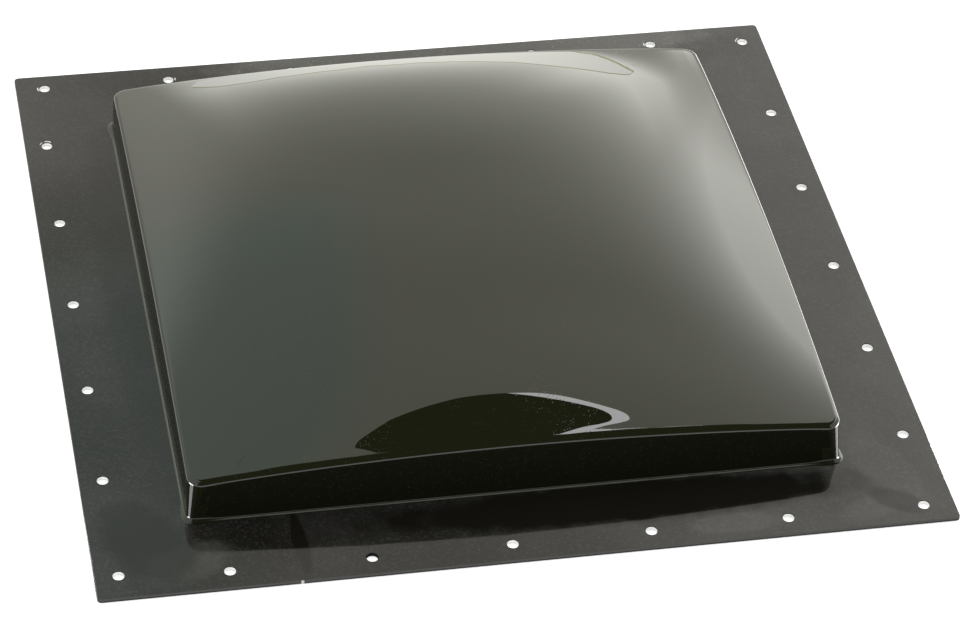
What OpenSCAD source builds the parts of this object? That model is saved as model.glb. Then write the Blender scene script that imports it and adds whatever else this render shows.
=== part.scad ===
// Fixed roof skylight: one sheet of smoke-tinted plastic, formed into a pillow dome with a flat screw flange.
// The underside of the flange lies on z = 0, with the dome's axis on z.

/* [Flange] */
// Side length of the square flange
flange_w = 470; // [440:1:560]
// Thickness of the sheet in the flange
flange_t = 2.4; // [1.6:0.1:5]
// Radius of the flange's corners, seen from above
flange_corner_r = 2.5; // [0.5:0.5:12]

/* [Screw holes] */
// Diameter of a screw hole
hole_d = 6.35; // [4:0.05:9]
// Distance between neighbouring holes of a row
hole_pitch = 76.2; // [70:0.2:82]
// Distance from the flange's edge to the row along it
hole_inset = 13; // [8:0.5:18]
// Distance from the flange's corner to the first hole of a row
hole_start = 17.4; // [12:0.2:26]
// Number of holes in the row of each side
holes_per_side = 6; // [2:1:6]

/* [Skirt] */
// Width of the dome across opposite walls, where they meet the flange
dome_w = 362; // [300:1:384]
// Radius of the dome's upright corners, under the shoulder
corner_r = 9; // [7:0.5:30]
// Radius of the dome's upright corners, at the foot
foot_corner_r = 4.5; // [4:0.5:30]
// Draft of the walls, in degrees
wall_draft = 1; // [0:0.5:8]
// Thickness of the drawn sheet in the walls
wall_t = 1.8; // [1:0.1:4]
// Radius of the fillet between the flange and the wall, along the sides
foot_r = 1.5; // [1:0.5:8]
// Radius of the same fillet at the corners
corner_foot_r = 3; // [1:0.5:8]
// Radius of the shoulder between the wall and the crown, along the sides
shoulder_r = 2.5; // [2.5:0.5:12]
// Radius of the shoulder at the corners
corner_shoulder_r = 3; // [2.5:0.5:12]
// Length at each end of a side over which these radii change
corner_blend = 14; // [10:1:60]

/* [Crown] */
// Height of the shoulder at the dome's corners
corner_h = 27.5; // [22:0.5:60]
// Height of the shoulder at the middle of a side
side_h = 36; // [30:0.5:70]
// Height at the middle of the crown
crown_h = 60; // [56:0.5:120]
// Thickness of the drawn sheet in the crown
crown_t = 2; // [1:0.1:4]

/* [Hidden] */

// Steps along a straight side, round a corner, up the foot, over the shoulder and in to the middle
side_steps = 14;
corner_steps = 6;
foot_steps = 5;
shoulder_steps = 7;
crown_steps = 9;
// Corner radius of the crown's innermost ring, as a share of its half width
roundness_share = 0.8;
// How far a drill runs past the sheet
overrun = 1;
// Tightest radius that the inside of a bend may have
tight_bend_r = 0.5;

ring_size = 4 * (side_steps + corner_steps);
dome_half = dome_w / 2;
side_bow = side_h - corner_h;
pillow_rise = crown_h - corner_h - 2 * side_bow;
// Half width of the dome where the wall, drawn on without its shoulder, reaches corner height
crown_half = dome_half - (corner_h - flange_t) * tan(wall_draft);
// Offsets of a skin from the outer skin: in the flange, the wall and the crown
outer_skin = [0, 0, 0];
inner_skin = [flange_t, wall_t, crown_t];
// The shoulder at a corner can't be wider than the corner
corner_bend_r = min(corner_shoulder_r, corner_r - (corner_h - flange_t) * tan(wall_draft) - tight_bend_r);
// At the foot, the inside of an upright corner still needs a bend
least_foot_corner_r = wall_t / cos(wall_draft) + corner_foot_r * tan(wall_draft) + tight_bend_r;
// How far the upright corners move out between the shoulder and the foot, as their radius shrinks
corner_shift = corner_r - max(foot_corner_r, least_foot_corner_r);

// A point turned by whole quarters about the axis
function turned(p, quarters) = quarters == 0 ? p : turned([-p.y, p.x], quarters - 1);
function four_sides(quarter) = [for (k = [0:3]) for (p = quarter) turned(p, k)];

// Places of the rays along a straight side, from -1 to 1, closer together near the corners
side_shares = [for (j = [0:side_steps - 1]) -cos(180 * j / side_steps)];

// Where each ray of the loft starts, and which way it points: square to a side, or round a corner
spine_half = dome_half - corner_r;
ray_start = four_sides([
    for (share = side_shares) [spine_half * share, -spine_half],
    for (j = [0:corner_steps - 1]) [spine_half, -spine_half]
]);
ray_dir = four_sides([
    for (share = side_shares) [0, -1],
    for (j = [0:corner_steps - 1]) [sin(90 * j / corner_steps), -cos(90 * j / corner_steps)]
]);

// Rounded square with as many points as a ring of the loft
function outline(half, r) = four_sides([
    for (share = side_shares) [(half - r) * share, -half],
    for (j = [0:corner_steps - 1])
        let (a = 90 * j / corner_steps) [half - r + r * sin(a), r - half - r * cos(a)]
]);
function level_ring(half, r, z) = [for (p = outline(half, r)) [p.x, p.y, z]];

// Height of the crown over a point, and how steeply it climbs from there towards the inside
function fall(x) = 1 - pow(min(abs(x) / crown_half, 1), 2);
function crown_z(p) = corner_h + side_bow * (fall(p.x) + fall(p.y)) + pillow_rise * fall(p.x) * fall(p.y);
function crown_slope(p, dir) =
    let (along_x = p.x * (side_bow + pillow_rise * fall(p.y)))
    let (along_y = p.y * (side_bow + pillow_rise * fall(p.x)))
    atan(2 * (along_x * dir.x + along_y * dir.y) / pow(crown_half, 2));

// A point on ray i, out from its start and up; shift moves the start out, so that the corners grow tighter
function on_ray(i, out, z, shift = 0) =
    let (p = ray_start[i] * (1 + shift / spine_half) + ray_dir[i] * (out - shift)) [p.x, p.y, z];

// A radius on ray i, which goes over from its size along the side to its size at the corner
function blended(side_value, corner_value, i) =
    let (to_corner = spine_half - min(abs(ray_start[i].x), abs(ray_start[i].y)))
    let (share = max(1 - to_corner / corner_blend, 0))
    side_value + (corner_value - side_value) * share * share * (3 - 2 * share);

// Point of the foot on ray i: a fillet from the flange (turn_share 0) up into the wall (turn_share 1)
function foot_point(skin, turn_share, i) =
    let (r = blended(foot_r, corner_foot_r, i) + skin[0], floor_z = flange_t - skin[0])
    let (a = -90 - (90 - wall_draft) * turn_share)
    let (wall_out = corner_r - skin[1] / cos(wall_draft) - (floor_z + r - flange_t) * tan(wall_draft))
    on_ray(i, wall_out + r / cos(wall_draft) + r * cos(a), floor_z + r + r * sin(a), corner_shift);
function foot_ring(skin, turn_share) = [for (i = [0:ring_size - 1]) foot_point(skin, turn_share, i)];

// Point of the shoulder on ray i: a bend from the wall (turn_share 0) over to the crown (turn_share 1)
function shoulder_point(skin, turn_share, i) =
    let (edge_p = on_ray(i, crown_half - spine_half, 0), edge_z = crown_z(edge_p))
    let (slope = crown_slope(edge_p, ray_dir[i]))
    let (edge = [corner_r - (edge_z - flange_t) * tan(wall_draft), edge_z])
    let (wall_n = [cos(wall_draft), sin(wall_draft)], crown_n = [sin(slope), cos(slope)], c = wall_n * crown_n)
    let (in_wall = (c * skin[2] - skin[1]) / (1 - c * c), in_crown = (c * skin[1] - skin[2]) / (1 - c * c))
    let (r = max(blended(shoulder_r, corner_bend_r, i) - skin[1], tight_bend_r))
    let (centre = edge + in_wall * wall_n + in_crown * crown_n - r * (wall_n + crown_n) / (1 + c))
    let (a = wall_draft + (90 - slope - wall_draft) * turn_share)
    on_ray(i, centre.x + r * cos(a), centre.y + r * sin(a));
function shoulder_ring(skin, turn_share) = [for (i = [0:ring_size - 1]) shoulder_point(skin, turn_share, i)];

// Ring of the crown: in_share is 0 at its edge and 1 in the middle, and its corners grow rounder inwards
function crown_ring(skin, in_share) =
    let (rim_half = crown_half - shoulder_r, rim_share = (corner_r - shoulder_r) / rim_half)
    let (half = rim_half * (1 - in_share))
    let (r = half * (max(rim_share, 0) + (roundness_share - max(rim_share, 0)) * in_share))
    [for (p = outline(half, r)) [p.x, p.y, crown_z(p) - skin[2]]];

// All rings of one skin, from the flange in to the middle of the crown
function skin_rings(skin) = [
    for (k = [0:foot_steps]) foot_ring(skin, k / foot_steps),
    for (k = [0:shoulder_steps]) shoulder_ring(skin, k / shoulder_steps),
    for (k = [1:crown_steps - 1]) crown_ring(skin, k / crown_steps)
];
function reversed(rings) = [for (k = [len(rings) - 1:-1:0]) rings[k]];

// Closed loft through rings of equal size, from one pole to the other
module loft(first_pole, rings, last_pole) {
    n = len(rings[0]);
    points = concat([for (ring = rings) each ring], [first_pole, last_pole]);
    first = len(points) - 2;
    last = len(points) - 1;
    end = (len(rings) - 1) * n;
    faces = [
        for (i = [0:n - 1]) [first, i, (i + 1) % n],
        for (k = [0:len(rings) - 2]) for (i = [0:n - 1])
            let (a = k * n + i, b = k * n + (i + 1) % n)
            each [[a, a + n, b + n], [a, b + n, b]],
        for (i = [0:n - 1]) [end + i, last, end + (i + 1) % n]
    ];
    polyhedron(points, faces);
}

// The formed sheet, before drilling
module formed_sheet() {
    flange_edges = [for (z = [0, flange_t]) level_ring(flange_w / 2, flange_corner_r, z)];
    rings = concat(reversed(skin_rings(inner_skin)), flange_edges, skin_rings(outer_skin));
    loft([0, 0, crown_h - crown_t], rings, [0, 0, crown_h]);
}

// Four equal rows of holes, each starting close to its own corner, so the pattern turns like a pinwheel
module screw_holes() {
    for (k = [0:3]) rotate(90 * k)
        for (i = [0:holes_per_side - 1])
            translate([flange_w / 2 - hole_start - i * hole_pitch, hole_inset - flange_w / 2, -overrun])
                cylinder(d = hole_d, h = flange_t + 2 * overrun, $fn = 48);
}

module skylight_dome() {
    color([0.2, 0.2, 0.19])
        difference() {
            formed_sheet();
            screw_holes();
        }
}

skylight_dome();
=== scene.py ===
import math

import bmesh
import bpy
from mathutils import Matrix, Vector


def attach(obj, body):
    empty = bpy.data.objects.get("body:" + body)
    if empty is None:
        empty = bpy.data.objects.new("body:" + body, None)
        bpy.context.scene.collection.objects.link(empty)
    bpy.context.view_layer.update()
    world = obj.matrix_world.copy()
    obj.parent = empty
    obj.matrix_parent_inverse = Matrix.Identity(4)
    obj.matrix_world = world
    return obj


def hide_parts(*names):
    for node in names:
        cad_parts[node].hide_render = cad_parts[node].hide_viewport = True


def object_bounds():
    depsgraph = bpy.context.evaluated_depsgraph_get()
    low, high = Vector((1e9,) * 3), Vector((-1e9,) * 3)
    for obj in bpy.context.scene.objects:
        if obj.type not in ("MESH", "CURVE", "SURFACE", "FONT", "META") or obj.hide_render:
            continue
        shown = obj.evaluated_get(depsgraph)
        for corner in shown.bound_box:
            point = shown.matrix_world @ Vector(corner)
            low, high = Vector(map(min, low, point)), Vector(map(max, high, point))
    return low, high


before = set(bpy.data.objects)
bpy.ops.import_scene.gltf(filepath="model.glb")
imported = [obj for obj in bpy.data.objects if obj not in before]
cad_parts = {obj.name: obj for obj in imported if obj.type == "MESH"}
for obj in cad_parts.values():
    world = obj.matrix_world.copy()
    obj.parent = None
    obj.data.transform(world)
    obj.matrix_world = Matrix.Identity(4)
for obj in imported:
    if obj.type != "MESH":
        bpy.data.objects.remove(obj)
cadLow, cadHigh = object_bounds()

scene = bpy.context.scene
scene.view_settings.view_transform = "Standard"
print("frame loaded:", [round(c, 4) for c in cadHigh - cadLow])


# the sheet's form, in metres
sheet = {
    "width": cadHigh.x - cadLow.x,   # flange, edge to edge
    "crownHeight": cadHigh.z,
    "flangeThick": 0.0024,
    "flangeCorner": 0.0025,
    "flangeCornerCuts": 6,
    "arris": 0.00035,                # softened cut edges
    "domeWidth": 0.362,
    "domeCorner": 0.009,             # upright corners, under the shoulder
    "footCorner": 0.0045,            # and at the foot
    "draft": math.radians(1),
    "wallThick": 0.0018,
    "crownThick": 0.002,
    "foot": 0.0015,                  # bends along the sides
    "shoulder": 0.0025,
    "cornerFoot": 0.003,             # and at the corners
    "cornerShoulder": 0.003,
    "cornerBlend": 0.014,            # length over which they change
    "cornerHeight": 0.0275,
    "sideHeight": 0.036,
    "sideCuts": 64,
    "cornerCuts": 12,
    "shoulderCuts": 12,
    "wallCuts": 5,
    "footCuts": 10,
    "sharpAngle": math.radians(35),  # bends below this are shaded smooth
}

# its finishes, in the order of the material slots
finishNames = ("smokeSheet", "sawnEdge", "hazyFlange", "drilledBore", "drawnWall")

screwHoles = {
    "radius": 0.003175,
    "pitch": 0.0762,
    "inset": 0.013,
    "start": 0.0174,
    "perSide": 6,
    "cuts": 40,
    "rim": 0.0003,
    "dark": [(0, 4)],                # side and number of a hole with a dark, smeared wall
}

domeHalf = sheet["domeWidth"] / 2
spineHalf = domeHalf - sheet["domeCorner"]
cornerShift = sheet["domeCorner"] - sheet["footCorner"]
sideBow = sheet["sideHeight"] - sheet["cornerHeight"]
pillowRise = sheet["crownHeight"] - sheet["cornerHeight"] - 2 * sideBow
crownHalf = domeHalf - (sheet["cornerHeight"] - sheet["flangeThick"]) * math.tan(sheet["draft"])
gridCuts = sheet["sideCuts"] + sheet["cornerCuts"]

# how far each skin lies under the outer one
outerSkin = {
    "flange": 0,
    "wall": 0,
    "crown": 0,
}
innerSkin = {
    "flange": sheet["flangeThick"],
    "wall": sheet["wallThick"],
    "crown": sheet["crownThick"],
}


def fall(x):
    return 1 - min(abs(x) / crownHalf, 1) ** 2


def crownZ(x, y):
    return sheet["cornerHeight"] + sideBow * (fall(x) + fall(y)) + pillowRise * fall(x) * fall(y)


def crownSlope(x, y, way):
    alongX = x * (sideBow + pillowRise * fall(y))
    alongY = y * (sideBow + pillowRise * fall(x))
    return math.atan(2 * (alongX * way.x + alongY * way.y) / crownHalf ** 2)


def overshoot(cell):
    # how far a grid line lies in the border strip, -1 to 1, and its place along the spine
    half = sheet["cornerCuts"] // 2
    along = min(max((cell - half) / sheet["sideCuts"], 0), 1) * 2 - 1
    if cell < half:
        return (cell - half) / half, along
    if cell > gridCuts - half:
        return (cell - gridCuts + half) / half, along
    return 0, along


def planRay(column, row):
    # start on the spine square, the way out from it, and the share of the way to the rim
    a, alongX = overshoot(column)
    b, alongY = overshoot(row)
    start = Vector((alongX * spineHalf, alongY * spineHalf))
    share = max(abs(a), abs(b))
    if share == 0:
        return start, Vector((0, 0)), 0
    if abs(b) >= abs(a):
        turn = math.pi / 4 * abs(a) / abs(b)
    else:
        turn = math.pi / 2 - math.pi / 4 * abs(b) / abs(a)
    way = Vector((math.copysign(math.sin(turn), a), math.copysign(math.cos(turn), b)))
    return start, way, share


def blended(side, corner, start):
    # a bend's radius goes over from its size along a side to its size at a corner
    toCorner = spineHalf - min(abs(start.x), abs(start.y))
    share = max(1 - toCorner / sheet["cornerBlend"], 0)
    return side + (corner - side) * share * share * (3 - 2 * share)


def shoulderPoint(skin, start, way, turnShare):
    # from the wall, 0, over to the crown, 1
    edge = start + way * (crownHalf - spineHalf)
    edgeZ = crownZ(edge.x, edge.y)
    slope = crownSlope(edge.x, edge.y, way)
    draft = sheet["draft"]
    r = blended(sheet["shoulder"], sheet["cornerShoulder"], start) - skin["wall"]
    corner = Vector((sheet["domeCorner"] - (edgeZ - sheet["flangeThick"]) * math.tan(draft), edgeZ))
    wallOut = Vector((math.cos(draft), math.sin(draft)))
    crownOut = Vector((math.sin(slope), math.cos(slope)))
    c = wallOut.dot(crownOut)
    inWall = (c * skin["crown"] - skin["wall"]) / (1 - c * c)
    inCrown = (c * skin["wall"] - skin["crown"]) / (1 - c * c)
    centre = corner + wallOut * inWall + crownOut * inCrown
    centre -= (wallOut + crownOut) * (r / (1 + c))
    turn = draft + (math.pi / 2 - slope - draft) * turnShare
    return centre.x + r * math.cos(turn), centre.y + r * math.sin(turn)


def footPoint(skin, start, turnShare):
    # from the flange, 0, up into the wall, 1
    r = blended(sheet["foot"], sheet["cornerFoot"], start) + skin["flange"]
    draft = sheet["draft"]
    low = sheet["flangeThick"] - skin["flange"]
    turn = -math.pi / 2 - (math.pi / 2 - draft) * turnShare
    wallOut = sheet["domeCorner"] - skin["wall"] / math.cos(draft)
    wallOut -= (low + r - sheet["flangeThick"]) * math.tan(draft)
    return wallOut + r / math.cos(draft) + r * math.cos(turn), low + r + r * math.sin(turn)


def onRay(start, way, out, z, shift):
    # the upright corners move out and grow tighter towards the foot
    place = start * (1 + shift / spineHalf) + way * (out - shift)
    return place.x, place.y, z


def edgesOf(bm, ring):
    return [bm.edges.get((a, b)) for a, b in zip(ring, ring[1:] + ring[:1])]


def nextRing(bm, ring, places):
    # extrudes a closed ring of points and sets the new points in place
    made = bmesh.ops.extrude_edge_only(bm, edges=edgesOf(bm, ring))["geom"]
    fresh = {g for g in made if isinstance(g, bmesh.types.BMVert)}
    faces = [g for g in made if isinstance(g, bmesh.types.BMFace)]
    out = [next(e.other_vert(v) for e in v.link_edges if e.other_vert(v) in fresh) for v in ring]
    for v, place in zip(out, places):
        v.co = place
    return out, faces


def onSide(face):
    middle = face.calc_center_median()
    return min(abs(middle.x), abs(middle.y)) < spineHalf


def formSkin(bm, skin):
    # crown grid, then shoulder, wall and foot, down to the flange
    made = bmesh.ops.create_grid(bm, x_segments=gridCuts, y_segments=gridCuts, size=1)["verts"]
    grid = {}
    for v in made:
        column = round((v.co.x + 1) / 2 * gridCuts)
        row = round((v.co.y + 1) / 2 * gridCuts)
        grid[column, row] = v
        start, way, share = planRay(column, row)
        if share == 1:
            out, z = shoulderPoint(skin, start, way, 1)
        else:
            out = share * shoulderPoint(skin, start, way, 1)[0] if share else 0
            z = crownZ(*(start + way * out)) - skin["crown"]
        v.co = onRay(start, way, out, z, 0)
    last = gridCuts
    keys = [(k, 0) for k in range(last)] + [(last, k) for k in range(last)]
    keys += [(last - k, last) for k in range(last)] + [(0, last - k) for k in range(last)]
    ring = [grid[key] for key in keys]
    rays = [planRay(*key)[:2] for key in keys]

    profile = []  # for each ring the shift of its corners, and a list of (out, height)
    for k in range(sheet["shoulderCuts"] - 1, -1, -1):
        profile.append((0, [shoulderPoint(skin, s, w, k / sheet["shoulderCuts"]) for s, w in rays]))
    top = profile[-1][1]
    low = [footPoint(skin, s, 1) for s, w in rays]
    for k in range(1, sheet["wallCuts"]):
        t = k / sheet["wallCuts"]
        row = [(a[0] + (b[0] - a[0]) * t, a[1] + (b[1] - a[1]) * t) for a, b in zip(top, low)]
        profile.append((cornerShift * t, row))
    for k in range(sheet["footCuts"], -1, -1):
        profile.append((cornerShift, [footPoint(skin, s, k / sheet["footCuts"]) for s, w in rays]))
    walls = []
    for k, (shift, row) in enumerate(profile):
        places = [onRay(s, w, out, z, shift) for (s, w), (out, z) in zip(rays, row)]
        ring, faces = nextRing(bm, ring, places)
        if sheet["shoulderCuts"] <= k < sheet["shoulderCuts"] + sheet["wallCuts"]:
            walls += [f for f in faces if onSide(f)]
    return ring, walls


def flangeOutline(bm):
    # the sawn edge, from its top arris to its bottom arris
    half = sheet["width"] / 2
    thick = sheet["flangeThick"]
    arris = sheet["arris"]
    corner = sheet["flangeCorner"]
    made = bmesh.ops.create_grid(bm, x_segments=1, y_segments=1, size=half - arris,
                                 matrix=Matrix.Translation((0, 0, thick)))["verts"]
    bmesh.ops.bevel(bm, geom=made, offset=corner - arris, offset_type="OFFSET", affect="VERTICES",
                    segments=sheet["flangeCornerCuts"], profile=0.5, material=-1)
    face = next(f for f in bm.faces if len(f.verts) > 4)
    topRing = sorted(face.verts, key=lambda v: math.atan2(v.co.y, v.co.x))
    bmesh.ops.delete(bm, geom=[face], context="FACES_ONLY")
    full = []
    for v in topRing:
        pivot = Vector((math.copysign(half - corner, v.co.x), math.copysign(half - corner, v.co.y), thick))
        full.append(pivot + (v.co - pivot) * (corner / (corner - arris)))
    sawn = []
    ring, faces = nextRing(bm, topRing, [(p.x, p.y, thick - arris) for p in full])
    sawn += faces
    ring, faces = nextRing(bm, ring, [(p.x, p.y, arris) for p in full])
    sawn += faces
    ring, faces = nextRing(bm, ring, [(v.co.x, v.co.y, 0) for v in topRing])
    sawn += faces
    return topRing, ring, sawn


def holeCentre(side, k):
    # each row starts close to its own corner
    half = sheet["width"] / 2
    along = half - screwHoles["start"] - k * screwHoles["pitch"]
    return Matrix.Rotation(side * math.pi / 2, 3, "Z") @ Vector((along, screwHoles["inset"] - half, 0))


def drillHole(bm, centre):
    thick = sheet["flangeThick"]
    rim = screwHoles["rim"]
    r = screwHoles["radius"]
    made = bmesh.ops.create_circle(bm, cap_ends=False, segments=screwHoles["cuts"], radius=r + rim,
                                   matrix=Matrix.Translation(centre + Vector((0, 0, thick))))
    topRing = list(made["verts"])
    inward = [centre + (Vector((v.co.x, v.co.y, 0)) - centre) * (r / (r + rim)) for v in topRing]
    ring, topRim = nextRing(bm, topRing, [(p.x, p.y, thick - rim) for p in inward])
    ring, bore = nextRing(bm, ring, [(p.x, p.y, rim) for p in inward])
    ring, bottomRim = nextRing(bm, ring, [(v.co.x, v.co.y, 0) for v in topRing])
    return topRing, ring, topRim + bottomRim, bore


def addPiece(name, bm):
    mesh = bpy.data.meshes.new(name)
    bm.to_mesh(mesh)
    bm.free()
    mesh.set_sharp_from_angle(angle=sheet["sharpAngle"])
    piece = bpy.data.objects.new(name, mesh)
    scene.collection.objects.link(piece)
    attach(piece, "root")
    return piece


def formSheet():
    bm = bmesh.new()
    topEdge, bottomEdge, sawnFaces = flangeOutline(bm)
    topLoops = edgesOf(bm, topEdge)
    bottomLoops = edgesOf(bm, bottomEdge)
    boreFaces = []
    for side in range(4):
        for k in range(screwHoles["perSide"]):
            topRing, bottomRing, rims, bore = drillHole(bm, holeCentre(side, k))
            topLoops += edgesOf(bm, topRing)
            bottomLoops += edgesOf(bm, bottomRing)
            sawnFaces += rims
            if (side, k) in screwHoles["dark"]:
                sawnFaces += bore
            else:
                boreFaces += bore
    topRing, walls = formSkin(bm, outerSkin)
    topLoops += edgesOf(bm, topRing)
    bottomRing, _ = formSkin(bm, innerSkin)
    bottomLoops += edgesOf(bm, bottomRing)
    flats = []
    for loops, up in ((topLoops, 1), (bottomLoops, -1)):
        made = bmesh.ops.triangle_fill(bm, use_beauty=True, use_dissolve=False, edges=loops,
                                       normal=(0, 0, up))
        flats += [g for g in made["geom"] if isinstance(g, bmesh.types.BMFace)]
    finished = {
        "sawnEdge": sawnFaces,
        "hazyFlange": flats,
        "drilledBore": boreFaces,
        "drawnWall": walls,
    }
    for finish, faces in finished.items():
        for f in faces:
            f.material_index = finishNames.index(finish)
    bmesh.ops.recalc_face_normals(bm, faces=bm.faces)
    for f in bm.faces:
        f.smooth = True
    loose = [e for e in bm.edges if not e.is_manifold]
    volume = round(bm.calc_volume() * 1e6, 2)  # cubic centimetres
    print("sheet:", len(bm.faces), "faces, open edges", len(loose), "volume", volume)
    return addPiece("formedSheet", bm)


# finishes: small helpers for their nodes, then the effects that they share

def newMaterial(name):
    mat = bpy.data.materials.new(name)
    mat.use_nodes = True
    return mat, mat.node_tree, mat.node_tree.nodes["Principled BSDF"]


def feed(tree, socket, value):
    if isinstance(value, bpy.types.NodeSocket):
        tree.links.new(value, socket)
    else:
        socket.default_value = value


def calc(tree, operation, a, b=0.0):
    node = tree.nodes.new("ShaderNodeMath")
    node.operation = operation
    feed(tree, node.inputs[0], a)
    feed(tree, node.inputs[1], b)
    return node.outputs[0]


def total(tree, *values):
    out = values[0]
    for value in values[1:]:
        out = calc(tree, "ADD", out, value)
    return out


def times(tree, *values):
    out = values[0]
    for value in values[1:]:
        out = calc(tree, "MULTIPLY", out, value)
    return out


def rampUp(tree, value, low, high, top=1.0):
    node = tree.nodes.new("ShaderNodeMapRange")
    node.interpolation_type = "SMOOTHSTEP"
    tree.links.new(value, node.inputs["Value"])
    node.inputs["From Min"].default_value = low
    node.inputs["From Max"].default_value = high
    node.inputs["To Max"].default_value = top
    return node.outputs["Result"]


def mixColor(tree, share, a, b):
    node = tree.nodes.new("ShaderNodeMix")
    node.data_type = "RGBA"
    feed(tree, node.inputs["Factor"], share)
    feed(tree, node.inputs["A"], a)
    feed(tree, node.inputs["B"], b)
    return node.outputs["Result"]


def stretched(tree, place, scale, turn=0.0):
    node = tree.nodes.new("ShaderNodeMapping")
    tree.links.new(place, node.inputs["Vector"])
    node.inputs["Rotation"].default_value = (0, 0, turn)
    node.inputs["Scale"].default_value = scale
    return node.outputs["Vector"]


def noise(tree, place, scale, detail=2.0):
    node = tree.nodes.new("ShaderNodeTexNoise")
    tree.links.new(place, node.inputs["Vector"])
    node.inputs["Scale"].default_value = scale
    node.inputs["Detail"].default_value = detail
    return node.outputs["Fac"]


def objectPlace(tree):
    return tree.nodes.new("ShaderNodeTexCoord").outputs["Object"]


def axes(tree, place):
    node = tree.nodes.new("ShaderNodeSeparateXYZ")
    tree.links.new(place, node.inputs["Vector"])
    return node.outputs["X"], node.outputs["Y"], node.outputs["Z"]


def newGroup(name, inputs, outputs):
    group = bpy.data.node_groups.new(name, "ShaderNodeTree")
    for label, kind in inputs:
        group.interface.new_socket(label, in_out="INPUT", socket_type=kind)
    for label in outputs:
        group.interface.new_socket(label, in_out="OUTPUT", socket_type="NodeSocketFloat")
    given = group.nodes.new("NodeGroupInput").outputs
    result = group.nodes.new("NodeGroupOutput").inputs
    return group, given, result


def useGroup(tree, group, **values):
    node = tree.nodes.new("ShaderNodeGroup")
    node.node_tree = group
    for label, value in values.items():
        feed(tree, node.inputs[label], value)
    return node.outputs


# dust: each pair is where a mask begins and where it is full
dustLook = {
    "cells": 640,                    # per metre, some with a grain
    "grain": (0.36, 0.1),            # from a cell's rim to its middle
    "chosen": (0.9, 1.15),
    "driftScale": 26,
    "drift": (0.42, 0.72),
    "driftPull": 0.25,               # how much more a drift holds
    "filmScale": 11,
    "film": (0.35, 0.75),
}

# marks of wiping: stretch, turn in degrees, detail, and where a mark begins and is full
wipeLook = {
    "smear": ((5, 34, 1), 38, 3, 0.5, 0.72),
    "fine": ((9, 760, 1), -24, 1, 0.72, 0.78),
    "crossing": ((9, 640, 1), 63, 1, 0.73, 0.78),
}

patchLook = {
    "raggedScale": 70,
    "ragged": 0.5,
    "edge": (1.3, 0.9),
}


def settledDust():
    # grains that lie in drifts, and a thin film
    group, given, result = newGroup(
        "settledDust", [("Place", "NodeSocketVector"), ("Amount", "NodeSocketFloat")], ["Grains", "Film"])
    flat = stretched(group, given["Place"], (1, 1, 0))
    cells = group.nodes.new("ShaderNodeTexVoronoi")
    cells.voronoi_dimensions = "2D"
    cells.inputs["Scale"].default_value = dustLook["cells"]
    group.links.new(flat, cells.inputs["Vector"])
    pick = axes(group, cells.outputs["Color"])[0]
    drift = rampUp(group, noise(group, flat, dustLook["driftScale"], 3), *dustLook["drift"])
    grain = rampUp(group, cells.outputs["Distance"], *dustLook["grain"])
    likely = total(group, pick, times(group, drift, dustLook["driftPull"]))
    chosen = rampUp(group, likely, *dustLook["chosen"])
    group.links.new(times(group, grain, chosen, given["Amount"]), result["Grains"])
    film = rampUp(group, noise(group, flat, dustLook["filmScale"], 4), *dustLook["film"])
    group.links.new(times(group, film, given["Amount"]), result["Film"])
    return group


def wipeMarks():
    # broad smears from a cloth, and hairline scratches
    group, given, result = newGroup("wipeMarks", [("Place", "NodeSocketVector")], ["Smear", "Scratches"])

    def strokes(kind):
        scale, turn, detail, begin, full = wipeLook[kind]
        drawnOut = stretched(group, given["Place"], scale, math.radians(turn))
        return rampUp(group, noise(group, drawnOut, 1, detail), begin, full)

    group.links.new(strokes("smear"), result["Smear"])
    group.links.new(calc(group, "MAXIMUM", strokes("fine"), strokes("crossing")), result["Scratches"])
    return group


def softPatch():
    # an oval area with a soft, uneven edge
    inputs = [("Place", "NodeSocketVector"), ("Centre", "NodeSocketVector"), ("Turn", "NodeSocketFloat"),
              ("Size", "NodeSocketVector")]
    group, given, result = newGroup("softPatch", inputs, ["Mask"])
    away = group.nodes.new("ShaderNodeVectorRotate")
    away.rotation_type = "Z_AXIS"
    group.links.new(given["Place"], away.inputs["Vector"])
    group.links.new(given["Centre"], away.inputs["Center"])
    group.links.new(given["Turn"], away.inputs["Angle"])
    offset = group.nodes.new("ShaderNodeVectorMath")
    offset.operation = "SUBTRACT"
    group.links.new(away.outputs["Vector"], offset.inputs[0])
    group.links.new(given["Centre"], offset.inputs[1])
    share = group.nodes.new("ShaderNodeVectorMath")
    share.operation = "DIVIDE"
    group.links.new(offset.outputs["Vector"], share.inputs[0])
    group.links.new(given["Size"], share.inputs[1])
    x, y = axes(group, share.outputs["Vector"])[:2]
    reach = calc(group, "SQRT", total(group, times(group, x, x), times(group, y, y)))
    uneven = noise(group, given["Place"], patchLook["raggedScale"], 3)
    ragged = total(group, reach, times(group, uneven, patchLook["ragged"]))
    group.links.new(rampUp(group, ragged, *patchLook["edge"]), result["Mask"])
    return group


dustGroup = settledDust()
wipeGroup = wipeMarks()
patchGroup = softPatch()

# the formed sheet: glossy smoke tint, nearly black
smoke = {
    "color": (0.0078, 0.0088, 0.0035, 1),
    "ior": 1.585,
    "roughness": 0.008,
    "smearRough": 0.01,
    "grainRough": 0.4,
    "dust": (0.42, 0.42, 0.39, 1),
    "dustAmount": 0.3,
    "flatEnough": (0.4, 0.9),        # upward faces, which hold grains
    "grains": 0.12,                  # shares of dust colour
    "film": 0.006,
    "scratches": 0.01,
    "nookDust": 0.2,                 # the same, in the bend at the foot
    "nookScale": 90,
    "nookPatchy": (0.1, 0.5),
    "nookFrom": (0.0024, 0.0026),    # heights of that dust
    "nookTo": (0.0031, 0.0027),
    "nookEnds": (0.172, 0.155),      # and where it ends along a side
}

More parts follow.
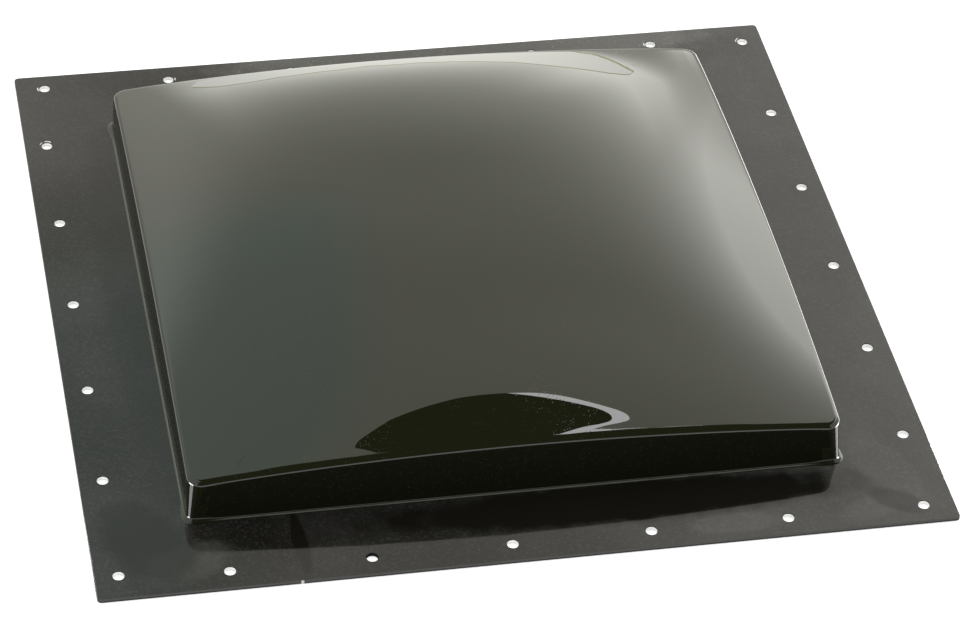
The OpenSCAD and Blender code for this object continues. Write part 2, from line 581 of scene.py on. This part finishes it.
# the walls, dulled by the draw
wall = {
    "color": (0.0064, 0.0069, 0.0038, 1),
    "specular": 0.01,
    "roughness": 0.02,
    "marks": (120, 120, 22),         # drawn out upwards
    "markRough": 0.05,
    "rippleDeep": 0.0004,
    "rippleStrong": 0.1,
    "specks": 0.03,
    "speckScale": 900,
    "speckEdge": (0.6, 0.75),
}

# the flange kept more of the sheet's haze, with dust on it, and painted light and shade in places
flange = {
    "color": (0.0068, 0.0064, 0.005, 1),
    "specular": 0.29,
    "sheen": (1.0, 0.95, 1.0, 1),    # tint of its gloss
    "roughness": 0.05,
    "smearRough": 0.06,
    "dustyRough": 1.2,
    "mottle": 0.05,
    "mottleScale": 620,
    "mottleEdge": (0.45, 0.8),
    "film": (0.008, 0.045),          # all over, and where the film lies
    "grains": (0.06, 2.5),           # all over, and on the dusty places
    "scratches": 0.02,
    "rightDustAndLight": 0.062,              # more dust towards the right, and painted light there: the right side made paler
    "rightAlong": (-0.16, 0.2),
    "rightBack": (0.25, -0.1),
    "leastDust": 0.03,               # share that wiping leaves
    "dusty": [  # centre x, y, half length, half width, turn in degrees, amount
        (0.205, -0.190, 0.040, 0.016, 110, 0.026),
        (0.187, -0.221, 0.022, 0.010, 20, 0.026),
        (-0.185, -0.213, 0.030, 0.016, 25, 0.05),
        (0.112, -0.222, 0.030, 0.009, 0, 0.05),
        (0.160, -0.1855, 0.018, 0.003, 0, 0.02),
        (0.05, 0.232, 0.180, 0.034, 0, 0.15),
    ],
    "wipedAndShaded": [  # the same, with the share of dust taken off; the first, along the front wall, is painted shade where the flange mirrors that wall
        (0.055, -0.197, 0.150, 0.020, 0, 0.97),
        (-0.110, -0.195, 0.060, 0.018, 0, 0.35),
        (-0.1235, -0.207, 0.027, 0.0046, 92, 0.8),
        (-0.204, -0.195, 0.042, 0.024, 115, 0.75),
        (0.204, -0.216, 0.020, 0.009, -35, 0.5),
        (-0.192, 0.0, 0.190, 0.014, 90, 0.35),
    ],
}

# cut edges, dull from the saw, with a painted sheen along the top
sawn = {
    "color": (0.009, 0.009, 0.008, 1),
    "pale": (0.035, 0.035, 0.032, 1),
    "teeth": (1100, 1100, 90),
    "teethEdge": (0.5, 0.8),
    "teethRough": 0.2,
    "upper": (0.07, 0.07, 0.066, 1),  # painted sheen along the top, standing in for the arris's reflection
    "paintedSheenOut": (0.2335, 0.2345),
    "paintedSheenHigh": (0.0006, 0.0022),
    "chip": (0.45, 0.45, 0.42, 1),
    "chipAt": (-0.1265, -0.235, 0),  # a small chip on the front edge
    "chipSize": (0.0009, 0.0012, 1),
    "specular": 0.12,
    "roughness": 0.42,
}

# the frosted walls of the drilled holes, near white: partly frosting, partly painted light that lifts the
# shade inside the holes
bored = {
    "color": (0.9, 0.9, 0.88, 1),
    "shade": (0.75, 0.75, 0.73, 1),
    "turns": (300, 300, 2200),       # the drill's rings
    "turnEdge": (0.4, 0.7),
    "roughness": 0.6,
}


def smokeSheet():
    mat, tree, shader = newMaterial("smokeSheet")
    shader.inputs["IOR"].default_value = smoke["ior"]
    place = objectPlace(tree)
    dust = useGroup(tree, dustGroup, Place=place, Amount=smoke["dustAmount"])
    wipes = useGroup(tree, wipeGroup, Place=place)
    facing = axes(tree, tree.nodes.new("ShaderNodeNewGeometry").outputs["Normal"])[2]
    grains = times(tree, dust["Grains"], rampUp(tree, facing, *smoke["flatEnough"]))
    x, y, z = axes(tree, place)
    along = calc(tree, "MINIMUM", calc(tree, "ABSOLUTE", x), calc(tree, "ABSOLUTE", y))
    nook = times(tree, rampUp(tree, z, *smoke["nookFrom"]), rampUp(tree, z, *smoke["nookTo"]),
                 rampUp(tree, along, *smoke["nookEnds"]))
    patchy = noise(tree, place, smoke["nookScale"], 3)
    settled = times(tree, nook, rampUp(tree, patchy, *smoke["nookPatchy"], smoke["nookDust"]))
    share = total(tree, times(tree, grains, smoke["grains"]), times(tree, dust["Film"], smoke["film"]),
                  times(tree, wipes["Scratches"], smoke["scratches"]), settled)
    feed(tree, shader.inputs["Base Color"], mixColor(tree, share, smoke["color"], smoke["dust"]))
    rough = total(tree, smoke["roughness"], times(tree, wipes["Smear"], smoke["smearRough"]),
                  times(tree, grains, smoke["grainRough"]))
    feed(tree, shader.inputs["Roughness"], rough)
    return mat


def drawnWall():
    mat, tree, shader = newMaterial("drawnWall")
    shader.inputs["IOR"].default_value = smoke["ior"]
    shader.inputs["Specular IOR Level"].default_value = wall["specular"]
    place = objectPlace(tree)
    marks = noise(tree, stretched(tree, place, wall["marks"]), 1, 3)
    specks = noise(tree, place, wall["speckScale"], 2)
    specks = rampUp(tree, specks, *wall["speckEdge"], wall["specks"])
    feed(tree, shader.inputs["Base Color"], mixColor(tree, specks, wall["color"], smoke["dust"]))
    rough = total(tree, wall["roughness"], times(tree, marks, wall["markRough"]))
    feed(tree, shader.inputs["Roughness"], rough)
    ripple = tree.nodes.new("ShaderNodeBump")
    ripple.inputs["Distance"].default_value = wall["rippleDeep"]
    ripple.inputs["Strength"].default_value = wall["rippleStrong"]
    feed(tree, ripple.inputs["Height"], marks)
    feed(tree, shader.inputs["Normal"], ripple.outputs["Normal"])
    return mat


def hazyFlange():
    mat, tree, shader = newMaterial("hazyFlange")
    shader.inputs["IOR"].default_value = smoke["ior"]
    shader.inputs["Specular IOR Level"].default_value = flange["specular"]
    shader.inputs["Specular Tint"].default_value = flange["sheen"]
    place = objectPlace(tree)
    x, y = axes(tree, place)[:2]
    dust = useGroup(tree, dustGroup, Place=place, Amount=1.0)
    wipes = useGroup(tree, wipeGroup, Place=place)

    def patches(marks):
        masks = []
        for cx, cy, long, wide, turn, amount in marks:
            out = useGroup(tree, patchGroup, Place=place, Centre=(cx, cy, 0), Turn=-math.radians(turn),
                           Size=(long, wide, 1))
            masks.append(times(tree, out["Mask"], amount))
        return total(tree, *masks)

    dusty = patches(flange["dusty"])
    wipedAndShaded = patches(flange["wipedAndShaded"])
    # paler towards the right and front: partly dust, partly painted light
    right = times(tree, rampUp(tree, x, *flange["rightAlong"], flange["rightDustAndLight"]),
                  rampUp(tree, y, *flange["rightBack"]))
    fewGrains, moreGrains = flange["grains"]
    grains = times(tree, dust["Grains"], total(tree, fewGrains, times(tree, dusty, moreGrains)))
    thinFilm, moreFilm = flange["film"]
    film = total(tree, thinFilm, times(tree, dust["Film"], moreFilm))
    mottle = noise(tree, place, flange["mottleScale"], 3)
    mottle = rampUp(tree, mottle, *flange["mottleEdge"], flange["mottle"])
    scratches = times(tree, wipes["Scratches"], flange["scratches"])
    share = total(tree, right, grains, film, dusty, mottle, scratches)
    # wiping takes dust off, and painted shade darkens the strip along the front wall
    kept = calc(tree, "MAXIMUM", calc(tree, "SUBTRACT", 1.0, wipedAndShaded), flange["leastDust"])
    share = times(tree, share, kept)
    feed(tree, shader.inputs["Base Color"], mixColor(tree, share, flange["color"], smoke["dust"]))
    rough = total(tree, flange["roughness"], times(tree, wipes["Smear"], flange["smearRough"]),
                  times(tree, dusty, flange["dustyRough"]))
    feed(tree, shader.inputs["Roughness"], rough)
    return mat


def sawnEdge():
    mat, tree, shader = newMaterial("sawnEdge")
    shader.inputs["IOR"].default_value = smoke["ior"]
    shader.inputs["Specular IOR Level"].default_value = sawn["specular"]
    place = objectPlace(tree)
    teeth = noise(tree, stretched(tree, place, sawn["teeth"]), 1, 2)
    color = mixColor(tree, rampUp(tree, teeth, *sawn["teethEdge"]), sawn["color"], sawn["pale"])
    x, y, z = axes(tree, place)
    outward = calc(tree, "MAXIMUM", calc(tree, "ABSOLUTE", x), calc(tree, "ABSOLUTE", y))
    # painted sheen: the top of the outer cut edge made paler
    upper = times(tree, rampUp(tree, outward, *sawn["paintedSheenOut"]), rampUp(tree, z, *sawn["paintedSheenHigh"]))
    color = mixColor(tree, upper, color, sawn["upper"])
    chip = useGroup(tree, patchGroup, Place=place, Centre=sawn["chipAt"], Turn=0.0, Size=sawn["chipSize"])
    feed(tree, shader.inputs["Base Color"], mixColor(tree, chip["Mask"], color, sawn["chip"]))
    rough = total(tree, sawn["roughness"], times(tree, teeth, sawn["teethRough"]))
    feed(tree, shader.inputs["Roughness"], rough)
    return mat


def drilledBore(name):
    mat, tree, shader = newMaterial(name)
    shader.inputs["IOR"].default_value = smoke["ior"]
    shader.inputs["Roughness"].default_value = bored["roughness"]
    turns = noise(tree, stretched(tree, objectPlace(tree), bored["turns"]), 1, 2)
    color = mixColor(tree, rampUp(tree, turns, *bored["turnEdge"]), bored["color"], bored["shade"])
    feed(tree, shader.inputs["Base Color"], color)
    return mat


sheetPiece = formSheet()
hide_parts("skylight_dome")
# in the order of finishNames
for finish in (smokeSheet(), sawnEdge(), hazyFlange(), drilledBore("drilledBore"), drawnWall()):
    sheetPiece.data.materials.append(finish)
print("sheet formed and drilled")

# burrs that the drill left standing at a few holes
burrs = {
    "out": 0.0006,      # from the hole's wall to the burr's foot
    "wide": 0.0008,
    "high": 0.0007,
    "peak": 0.3,        # where its top stands, as a share of the width
    "tip": 0.3,         # size of its ends
    "cuts": 10,
    "stands": [  # side, hole, start and length in degrees
        (2, 0, 165, 50),
        (2, 1, -20, 35),
        (2, 5, 160, 45),
        (3, 5, 45, 60),
        (3, 5, 125, 35),
        (1, 0, 115, 60),
    ],
}


def standBurrs():
    bm = bmesh.new()
    near = screwHoles["radius"] + burrs["out"]
    wide = burrs["wide"]
    level = sheet["flangeThick"]
    for side, k, begin, length in burrs["stands"]:
        centre = holeCentre(side, k) + Vector((0, 0, level))
        points = [(near, 0), (near + wide, 0), (near + wide * burrs["peak"], burrs["high"])]
        section = [bm.verts.new(centre + Vector((out, 0, up))) for out, up in points]
        face = bm.faces.new(section)
        turn = Matrix.Rotation(math.radians(begin), 3, "Z")
        bmesh.ops.rotate(bm, cent=centre, matrix=turn, verts=section)
        spun = bmesh.ops.spin(bm, geom=[face] + list(face.edges) + section, cent=centre, axis=(0, 0, 1),
                              angle=math.radians(length), steps=burrs["cuts"], use_duplicate=False)
        for tip in (section, [g for g in spun["geom_last"] if isinstance(g, bmesh.types.BMVert)]):
            middle = sum((v.co for v in tip), Vector()) / len(tip)
            bmesh.ops.scale(bm, vec=(burrs["tip"],) * 3, space=Matrix.Translation(-middle), verts=tip)
            bmesh.ops.translate(bm, vec=(0, 0, level - min(v.co.z for v in tip)), verts=tip)
    bmesh.ops.recalc_face_normals(bm, faces=bm.faces)
    print("burrs: open edges", len([e for e in bm.edges if not e.is_manifold]))
    piece = addPiece("drillBurrs", bm)
    piece.data.materials.append(drilledBore("paleBurr"))


standBurrs()
print("burrs stand at", len(burrs["stands"]), "places")

# studio: a pale floor inside a light tent, with a slot in its roof
tent = {
    "white": 1.05,
    "backY": 0.7,
    "backTop": 2.6,
    "backHalf": 1.8,
    "slotHeight": 1.0,
    "slotFront": -0.9,
    "slotSides": (-0.7, 0.8),
    "slotSill": 0.12,
    "slotGlow": 0.06,
    "slotColor": (0.95, 1.0, 0.55, 1),
    "hemGlow": 6.0,
    "hemColor": (1.0, 0.99, 1.0, 1),
    "seamGlow": 2.2,
    "seamColor": (1.0, 0.97, 0.6, 1),
    "seamWide": 0.0012,
    "hangingGlow": 4.2,                # the bright cloth below that seam
    "hangingColor": (1.0, 1.0, 0.93, 1),
    "layer": 0.002,                    # between the cloths
    "roundCuts": 12,
}

# glow of the tent's back wall, as ramps from nothing to full, in metres across and up
backWall = {
    "olive": (1.0, 1.0, 0.86, 1),      # cloth colour over most of the wall
    "teal": (0.84, 1.0, 0.88, 1),      # and on its left
    "tealAcross": (0.04, -0.14),
    "tealUp": (0.42, 0.6),
    "glowColor": (1.0, 1.0, 0.95, 1),
    "lean": 0.62,                      # the side glows lean outwards
    "right": (0.11, 0.23, 3.3),        # scale, amount and limit of the growth
    "ridgeAt": 0.03,                   # a narrow glow on the left
    "ridgeWide": 0.11,
    "ridgeGlow": 0.65,
    "seamX": 0.1,                      # the glow over the seam follows its curve
    "seamZ": 0.112,
    "seamBend": 2.1,
    "low": (0.034, 2.3, 2.05),
    "lowLeft": (-0.165, -0.095),
    "lowRight": (0.46, 0.3),
    "highUp": (0.85, 1.3, 0.2),
    "highAcross": (-0.2, 0.8),
    "spots": [  # across, up, width, height, glow
        (0.27, 0.18, 0.06, 0.04, 0.75),
        (0.13, 0.4, 0.2, 0.12, -0.15),
    ],
    "dimX": 0.32,                      # a dim corner low on the right, under a curve
    "dimZ": 0.202,
    "dimSlope": 0.69,
    "dimBend": 0.9,
    "dimBlur": 0.01,
    "dimBlurRight": (0.36, 0.5, 0.12),
    "dimGlow": 0.15,                   # share of the glow in it
    "fadeUp": (2.2, 1.2),
    "fadeRight": (1.7, 1.0),
}


def stageMesh(name, bm, material):
    # a reflector or lamp that only gloss can see
    mesh = bpy.data.meshes.new(name)
    bm.to_mesh(mesh)
    bm.free()
    panel = bpy.data.objects.new(name, mesh)
    scene.collection.objects.link(panel)
    mesh.materials.append(material)
    panel.visible_camera = False
    panel.visible_diffuse = False
    panel.visible_shadow = False


def stagePanel(name, corners, material, rounded=()):
    # rounded lists (corner, radius)
    bm = bmesh.new()
    verts = [bm.verts.new(c) for c in corners]
    bm.faces.new(verts)
    for k, radius in rounded:
        bmesh.ops.bevel(bm, geom=[verts[k]], offset=radius, offset_type="OFFSET", affect="VERTICES",
                        segments=tent["roundCuts"], profile=0.5, material=-1)
    stageMesh(name, bm, material)


def glow(name, strength, color=(1, 1, 1, 1)):
    mat = bpy.data.materials.new(name)
    mat.use_nodes = True
    tree = mat.node_tree
    tree.nodes.remove(tree.nodes["Principled BSDF"])
    light = tree.nodes.new("ShaderNodeEmission")
    light.inputs["Color"].default_value = color
    light.inputs["Strength"].default_value = strength
    tree.links.new(light.outputs["Emission"], tree.nodes["Material Output"].inputs["Surface"])
    return mat, tree, light


def tentBack():
    # white cloth, brighter low down and towards both sides
    mat, tree, light = glow("tentBack", tent["white"])
    x, z = axes(tree, objectPlace(tree))[::2]

    def less(a, b):
        return calc(tree, "SUBTRACT", a, b)

    def over(a, b):
        return calc(tree, "DIVIDE", a, b)

    def growth(distance, scale, amount, limit):
        grown = times(tree, calc(tree, "EXPONENT", over(distance, scale)), amount)
        return calc(tree, "MINIMUM", grown, limit)

    def spot(centreX, centreZ, wide, high, amount):
        across = over(less(x, centreX), wide)
        upward = over(less(z, centreZ), high)
        away = total(tree, times(tree, across, across), times(tree, upward, upward))
        return times(tree, calc(tree, "EXPONENT", times(tree, away, -1.0)), amount)

    lean = times(tree, z, backWall["lean"])
    right = growth(less(x, lean), *backWall["right"])
    ridge = over(total(tree, x, lean, backWall["ridgeAt"]), backWall["ridgeWide"])
    left = times(tree, calc(tree, "EXPONENT", times(tree, ridge, ridge, -1.0)), backWall["ridgeGlow"])
    side = less(x, backWall["seamX"])
    seam = total(tree, backWall["seamZ"], times(tree, side, side, backWall["seamBend"]))
    lowReach = times(tree, rampUp(tree, x, *backWall["lowLeft"]), rampUp(tree, x, *backWall["lowRight"]))
    low = times(tree, growth(less(seam, z), *backWall["low"]), lowReach)
    high = times(tree, rampUp(tree, z, *backWall["highUp"]), rampUp(tree, x, *backWall["highAcross"]))
    spots = total(tree, *[spot(*place) for place in backWall["spots"]])

    off = less(x, backWall["dimX"])
    curve = times(tree, off, less(backWall["dimSlope"], times(tree, off, backWall["dimBend"])))
    blur = total(tree, backWall["dimBlur"], rampUp(tree, x, *backWall["dimBlurRight"]))
    clear = over(less(less(z, curve), backWall["dimZ"]), blur)
    above = rampUp(tree, clear, -0.5, 0.5, 1 - backWall["dimGlow"])
    fade = times(tree, rampUp(tree, z, *backWall["fadeUp"]), rampUp(tree, x, *backWall["fadeRight"]))

    glowing = tree.nodes.new("ShaderNodeEmission")
    glowing.inputs["Color"].default_value = backWall["glowColor"]
    dimmed = total(tree, above, backWall["dimGlow"])
    strength = times(tree, total(tree, right, left, low, high, spots), fade, dimmed)
    feed(tree, glowing.inputs["Strength"], strength)
    tealShare = times(tree, rampUp(tree, x, *backWall["tealAcross"]), rampUp(tree, z, *backWall["tealUp"]))
    feed(tree, light.inputs["Color"], mixColor(tree, tealShare, backWall["olive"], backWall["teal"]))
    both = tree.nodes.new("ShaderNodeAddShader")
    tree.links.new(light.outputs["Emission"], both.inputs[0])
    tree.links.new(glowing.outputs["Emission"], both.inputs[1])
    tree.links.new(both.outputs["Shader"], tree.nodes["Material Output"].inputs["Surface"])
    return mat


def hangBack():
    half = tent["backHalf"]
    y = tent["backY"]
    top = tent["backTop"]
    stagePanel("tentBack", [(-half, y, 0), (half, y, 0), (half, y, top), (-half, y, top)], tentBack())


def tentSeam():
    # a bright cloth hangs low on the wall, with a narrow dark seam along its upper edge
    y = tent["backY"] - tent["layer"]
    upper = [(-0.12, 0.207), (-0.095, 0.192), (-0.072, 0.176), (-0.037, 0.152), (0.001, 0.132),
             (0.046, 0.115), (0.091, 0.111), (0.12, 0.114), (0.149, 0.121), (0.182, 0.134), (0.255, 0.175),
             (0.292, 0.196), (0.314, 0.207), (0.3195, 0.2085), (0.321, 0.207)]
    lower = [(0.318, 0.2045), (0.308, 0.197), (0.286, 0.179), (0.262, 0.159), (0.231, 0.135), (0.18, 0.09),
             (0, 0.06), (-0.06, 0.13), (-0.107, 0.189)]
    hanging = glow("hangingCloth", tent["hangingGlow"], tent["hangingColor"])[0]
    stagePanel("hangingCloth", [(x, y, z) for x, z in upper + lower], hanging)
    bm = bmesh.new()
    verts = [bm.verts.new((x, y - tent["layer"], z)) for x, z in upper + lower[:5]]
    line = [bm.edges.new(pair) for pair in zip(verts, verts[1:])]
    made = bmesh.ops.extrude_edge_only(bm, edges=line)["geom"]
    raised = [g for g in made if isinstance(g, bmesh.types.BMVert)]
    bmesh.ops.translate(bm, vec=(0, 0, tent["seamWide"]), verts=raised)
    stageMesh("tentSeam", bm, glow("tentSeam", tent["seamGlow"], tent["seamColor"])[0])


def tentRoof():
    # dark slot in the roof, its bright hem and the dark room in front
    h = tent["slotHeight"]
    front = tent["slotFront"]
    left, right = tent["slotSides"]
    sill = tent["slotSill"]
    dark = glow("darkSlot", tent["slotGlow"], tent["slotColor"])[0]
    hem = glow("slotHem", tent["hemGlow"], tent["hemColor"])[0]

    def cloth(name, level, outline, material, rounded=()):
        stagePanel(name, [(x, y, h + level * tent["layer"]) for x, y in outline], material, rounded)

    cloth("slotArch", 0, [(-0.045, 0.268), (0.05, 0.15), (0.213, 0.15), (0.352, 0.244), (0.18, 0.289),
                          (0.106, 0.292), (0, 0.286)], dark, [(3, 0.05), (0, 0.012)])
    cloth("slotHem", 1, [(0.16, 0.29), (0.15, 0.16), (0.25, 0.16), (0.368, 0.253), (0.25, 0.288)], hem,
          [(3, 0.031), (4, 0.03)])
    cloth("slotTop", 2, [(left, front), (right, front), (right, 0.68), (0.613, 0.47), (0.538, 0.376),
                         (0.45, 0.286), (0.38, 0.229), (0.322, 0.197), (0.278, 0.18), (0.239, 0.169),
                         (0.157, 0.15), (0.06, 0.168), (-0.03, 0.225), (-0.081, 0.28), (-0.156, 0.38),
                         (-0.2, 0.455), (-0.21, 0.46), (-0.26, 0.49), (-0.35, -0.3), (left, -0.3)], dark)
    cloth("hemTail", 3, [(0.25, 0.16), (0.46, 0.28), (0.452, 0.2895), (0.38, 0.2345), (0.322, 0.2025),
                         (0.27, 0.184)], hem)
    corners = [(left, front, sill), (right, front, sill), (right, front, h), (left, front, h)]
    stagePanel("slotFront", corners, dark)
    half = sheet["width"] / 2 - ground["clear"]  # no light comes up through the holes
    z = ground["shineZ"]
    stagePanel("underShade", [(-half, -half, z), (half, -half, z), (half, half, z), (-half, half, z)], dark)


# the floor, and what gloss sees on it and just above it
ground = {
    "z": -0.0004,
    "half": 30,
    "color": (0.93, 0.93, 0.93, 1),
    "roughness": 0.9,
    "ownGlow": 0.55,
    "shineZ": -0.0002,
    "shineHalf": 3,
    "shineGlow": 1.8,
    "clear": 0.001,                    # inside the flange's edge
    "stripGlow": 26.0,                 # beside the front corners
    "sunnyGlow": 6.5,                  # along the right side
    "stripNear": 0.2365,
    "stripFar": 0.42,
    "bouncedGlow": 44.0,
    "lampX": 0.3,
    "lampHeights": (0.004, 0.095),
}


def bouncedGlow(name, strength):
    # shows only in a second reflection, and is clear in the first
    mat, tree, light = glow(name, strength)
    bounces = tree.nodes.new("ShaderNodeLightPath").outputs["Glossy Depth"]
    either = tree.nodes.new("ShaderNodeMixShader")
    feed(tree, either.inputs["Fac"], calc(tree, "GREATER_THAN", bounces, 1.5))
    tree.links.new(tree.nodes.new("ShaderNodeBsdfTransparent").outputs["BSDF"], either.inputs[1])
    tree.links.new(light.outputs["Emission"], either.inputs[2])
    tree.links.new(either.outputs["Shader"], tree.nodes["Material Output"].inputs["Surface"])
    return mat


def sideLamps():
    # bright strips of floor, and two small lamps for the light that the flange throws back
    bright = glow("brightStrip", ground["stripGlow"])[0]
    sunny = glow("sunnyFloor", ground["sunnyGlow"])[0]
    lamp = bouncedGlow("bouncedLamp", ground["bouncedGlow"])
    low, high = ground["lampHeights"]

    def strip(name, side, nearFront, nearBack, farFront, farBack, material):
        near = side * ground["stripNear"]
        far = side * ground["stripFar"]
        corners = [(near, nearFront, 0), (near, nearBack, 0), (far, farBack, 0), (far, farFront, 0)]
        stagePanel(name, corners, material)

    strip("leftStrip", -1, -0.215, -0.172, -0.28, -0.16, bright)
    strip("rightStrip", 1, -0.2, -0.162, -0.25, -0.105, bright)
    strip("sunnyFloor", 1, -0.15, 0.4, -0.09, 0.5, sunny)
    for name, side, front, back in (("leftLamp", -1, -0.233, -0.17), ("rightLamp", 1, -0.213, -0.142)):
        x = side * ground["lampX"]
        stagePanel(name, [(x, front, low), (x, back, low), (x, back, high), (x, front, high)], lamp)


def floorShine():
    # sunlit floor round the flange, for the gloss alone
    bm = bmesh.new()
    bmesh.ops.create_grid(bm, x_segments=1, y_segments=1, size=ground["shineHalf"],
                          matrix=Matrix.Translation((0, 0, ground["shineZ"])))
    inner = ground["shineHalf"] - sheet["width"] / 2 - ground["clear"]
    bmesh.ops.inset_region(bm, faces=list(bm.faces), thickness=inner, use_even_offset=True)
    middle = min(bm.faces, key=lambda f: f.calc_area())
    bmesh.ops.delete(bm, geom=[middle], context="FACES_ONLY")
    stageMesh("floorShine", bm, glow("floorShine", ground["shineGlow"])[0])


def paleFloor():
    bm = bmesh.new()
    bmesh.ops.create_grid(bm, x_segments=1, y_segments=1, size=ground["half"],
                          matrix=Matrix.Translation((0, 0, ground["z"])))
    mesh = bpy.data.meshes.new("paleFloor")
    bm.to_mesh(mesh)
    bm.free()
    floor = bpy.data.objects.new("paleFloor", mesh)
    scene.collection.objects.link(floor)
    mat, _, shader = newMaterial("paleFloor")
    shader.inputs["Base Color"].default_value = ground["color"]
    shader.inputs["Roughness"].default_value = ground["roughness"]
    shader.inputs["Specular IOR Level"].default_value = 0
    shader.inputs["Emission Color"].default_value = (1, 1, 1, 1)
    shader.inputs["Emission Strength"].default_value = ground["ownGlow"]
    mesh.materials.append(mat)


def tentLight():
    world = bpy.data.worlds.new("tentLight")
    scene.world = world
    world.use_nodes = True
    background = world.node_tree.nodes["Background"]
    background.inputs["Color"].default_value = (1, 1, 1, 1)
    background.inputs["Strength"].default_value = tent["white"]


tentLight()
hangBack()
tentSeam()
tentRoof()
sideLamps()
floorShine()
paleFloor()
print("tent and floor set")

# camera, at the photograph's angle
view = {
    "azimuth": math.radians(-12.802),
    "elevation": math.radians(39.096),
    "roll": math.radians(3.3),
    "distance": 2.22411,
    "target": (0.013951, -0.024842, 0),
    "focalPixels": 3866.0,
    "imageWidth": 980,
    "sensorWidth": 36,
    "clipEnd": 100,
}


def setCamera():
    data = bpy.data.cameras.new("photoCamera")
    data.sensor_fit = "HORIZONTAL"
    data.sensor_width = view["sensorWidth"]
    data.lens = view["focalPixels"] / view["imageWidth"] * data.sensor_width
    data.clip_end = view["clipEnd"]
    cam = bpy.data.objects.new("photoCamera", data)
    scene.collection.objects.link(cam)
    flat = math.cos(view["elevation"])
    back = Vector((math.sin(view["azimuth"]) * flat, -math.cos(view["azimuth"]) * flat,
                   math.sin(view["elevation"])))
    turn = back.to_track_quat("Z", "Y").to_matrix().to_4x4() @ Matrix.Rotation(view["roll"], 4, "Z")
    cam.matrix_world = Matrix.Translation(Vector(view["target"]) + back * view["distance"]) @ turn
    scene.camera = cam


setCamera()
print("camera set")
